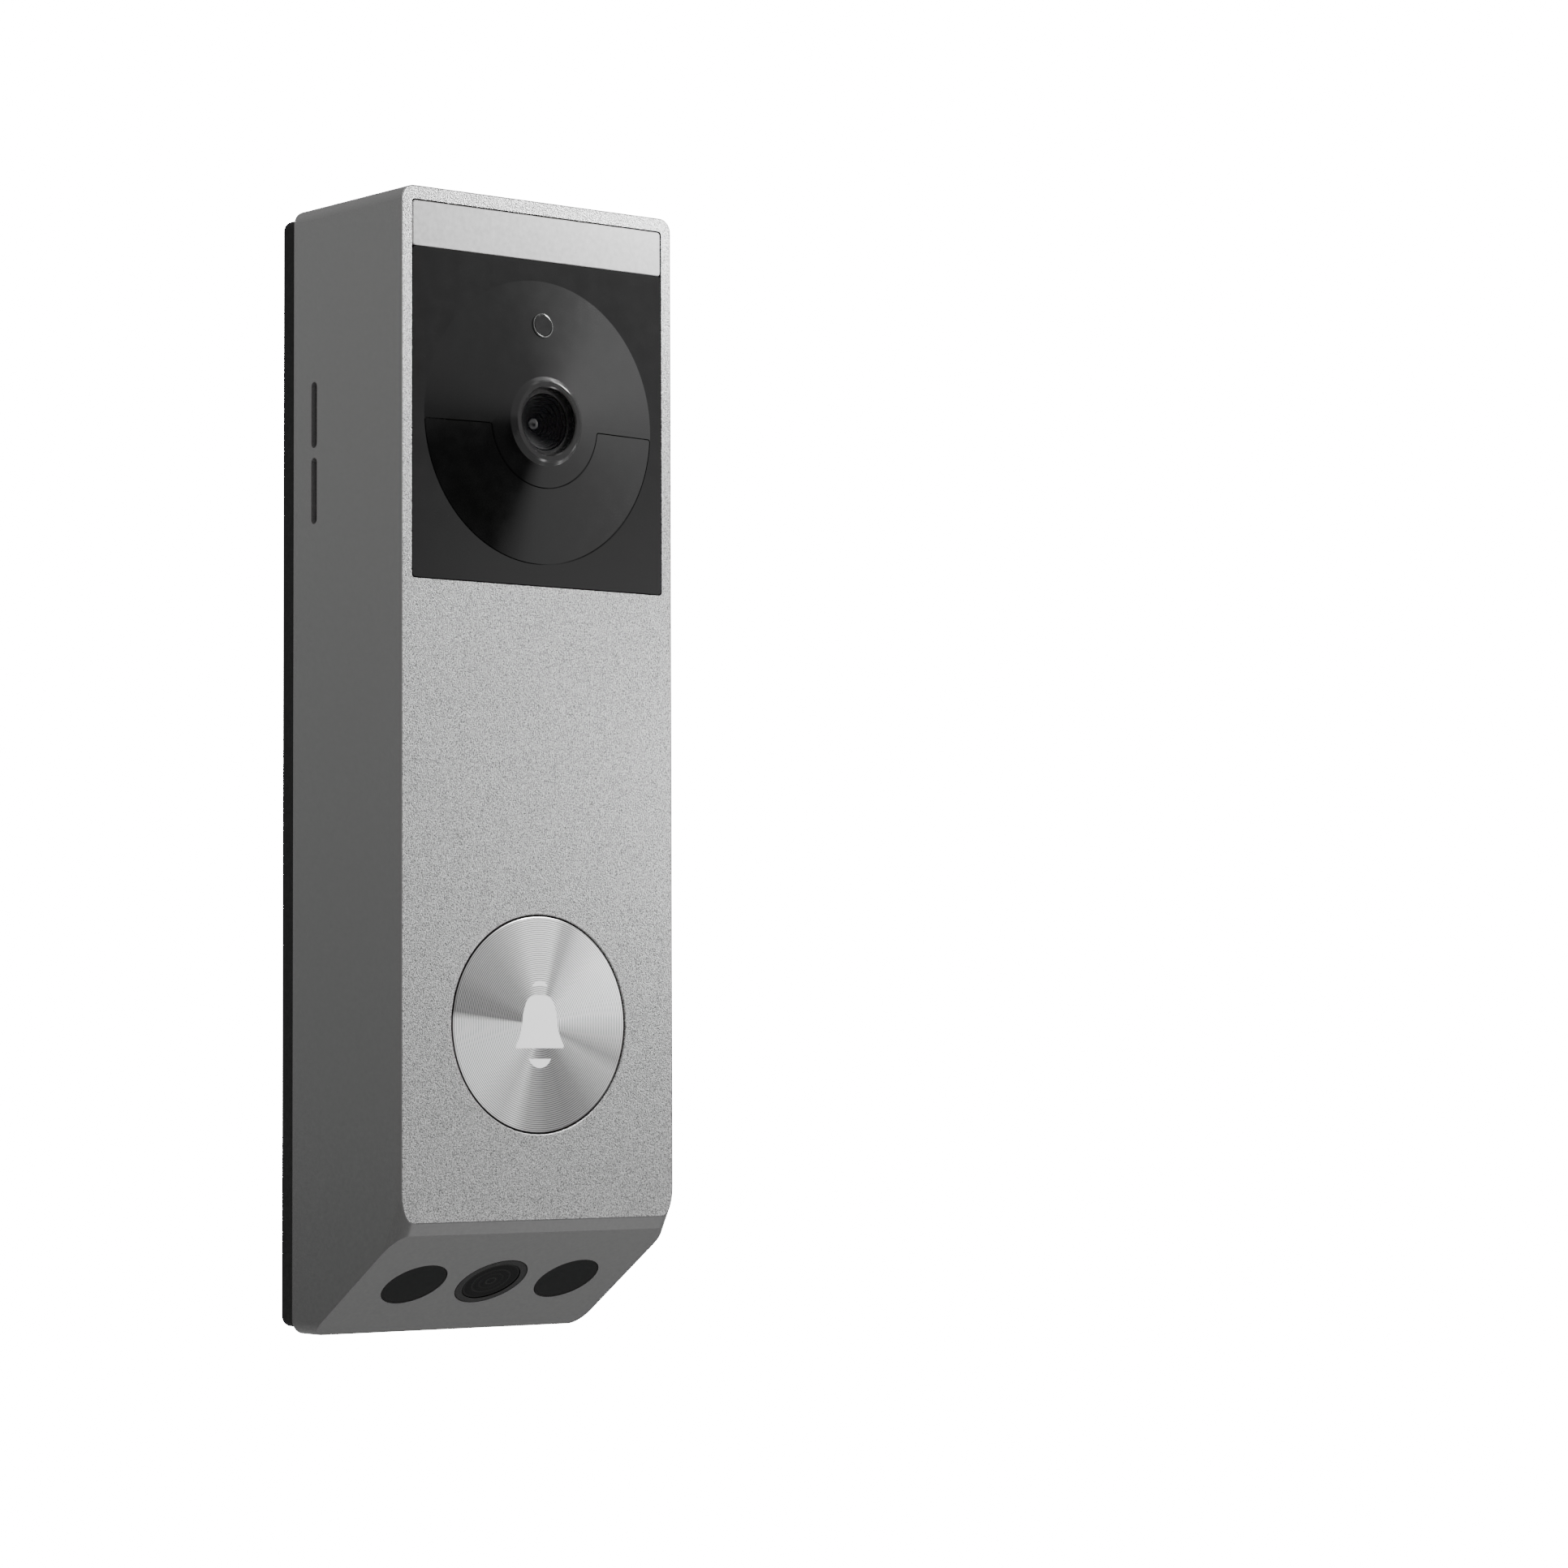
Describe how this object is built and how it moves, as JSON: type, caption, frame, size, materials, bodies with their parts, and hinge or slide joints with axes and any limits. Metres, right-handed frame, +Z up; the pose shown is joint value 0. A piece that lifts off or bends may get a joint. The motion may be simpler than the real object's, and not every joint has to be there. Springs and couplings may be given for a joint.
{
  "type": "video doorbell",
  "caption": "slim battery video doorbell: domed camera and motion window, round push button, sloping lower camera face, hung on a wall plate with hooks",
  "frame": {"origin": "middle of the wall plate's back face, on the wall", "axes": "+X to the right of someone facing the doorbell, +Y into the wall, +Z up; the front faces -Y"},
  "size_m": [0.046, 0.0314, 0.1536],
  "materials": {
    "bracket_black": "black moulded wall plate",
    "body_grey": "smooth dark grey moulded plastic",
    "front_silver": "bead-blasted silver, fine grain",
    "trim_silver": "plain satin silver",
    "window_black": "gloss black, infrared-transparent",
    "button_metal": "turned metal, concentric grooves",
    "icon_light": "light grey translucent symbol",
    "lens_black": "polished black ring",
    "lens_glass": "coated optical glass",
    "inner_black": "matt black moulding",
    "frame_grey": "grey moulded frame",
    "board_green": "green solder mask",
    "chip_black": "epoxy chip package",
    "sensor_can": "pressed metal can",
    "led_clear": "clear epoxy lamp",
    "light_pipe": "clear acrylic",
    "steel": "zinc-plated steel",
    "spring_steel": "spring wire",
    "brass": "brass terminal screw",
    "rubber_black": "soft black rubber",
    "foam_grey": "closed-cell foam",
    "tape_black": "double-sided adhesive film",
    "mesh_steel": "woven wire cloth",
    "battery_wrap": "silver-grey pouch film",
    "lead_red": "insulated wires and white plug",
    "antenna_copper": "copper on flexible film",
    "seal_silicone": "grey silicone"
  },
  "bodies": {
    "bracket": {"mounting_plate": "bracket_black"},
    "unit": {"housing": "body_grey", "front_panel": "front_silver", "panel_tape": "tape_black", "trim_bar": "trim_silver", "camera_cover": "window_black", "pir_window": "window_black", "lens_bezel": "lens_black", "lens_glass": "lens_glass", "lens_barrel": "inner_black", "front_element": "lens_glass", "lens_holder": "inner_black", "image_sensor": "chip_black", "camera_board": "board_green", "board_link": "inner_black", "daylight_pipe": "light_pipe", "sensor_board": "board_green", "pir_sensors": "sensor_can", "ir_leds": "led_clear", "button_seal": "seal_silicone", "button_spring": "spring_steel", "button_switch": "inner_black", "button_board": "board_green", "speaker_mesh": "mesh_steel", "speaker_gasket": "foam_grey", "vent_membrane": "rubber_black", "microphone": "inner_black", "speaker": "inner_black", "main_board": "board_green", "shield_can": "sensor_can", "radio_module": "sensor_can", "antenna": "antenna_copper", "usb_socket": "steel", "reset_switch": "inner_black", "terminal_block": "frame_grey", "terminal_screws": "brass", "board_screws": "steel", "battery_pack": "battery_wrap", "battery_frame": "frame_grey", "battery_foam": "foam_grey", "battery_lead": "lead_red", "chin_bezel": "lens_black", "chin_glass": "lens_glass", "chin_lens": "inner_black", "chin_windows": "window_black", "chin_leds": "led_clear", "chin_board": "board_green", "rear_cover": "body_grey", "rear_seal": "seal_silicone", "cover_screws": "steel"},
    "button": {"button_cap": "button_metal", "button_icon": "icon_light", "button_carrier": "inner_black", "button_clip": "steel"},
    "reset": {"reset_button": "inner_black"},
    "bung": {"usb_bung": "rubber_black"}
  },
  "joints": [
    {"name": "unit_lift", "type": "slide", "parent": "bracket", "child": "unit", "axis": [0, 0, 1], "range_m": [0, 0.0045]},
    {"name": "button_press", "type": "slide", "parent": "unit", "child": "button", "axis": [0, 1, 0], "range_m": [0, 0.0005], "stiffness_N_per_m": 900, "springref_m": -0.001, "deforming": ["button_spring"]},
    {"name": "reset_press", "type": "slide", "parent": "unit", "child": "reset", "axis": [0, -1, 0], "range_m": [0, 0.0005], "stiffness_N_per_m": 400, "springref_m": -0.0005},
    {"name": "bung_pull", "type": "slide", "parent": "unit", "child": "bung", "axis": [0, 1, 0], "range_m": [0, 0.003]}
  ]
}
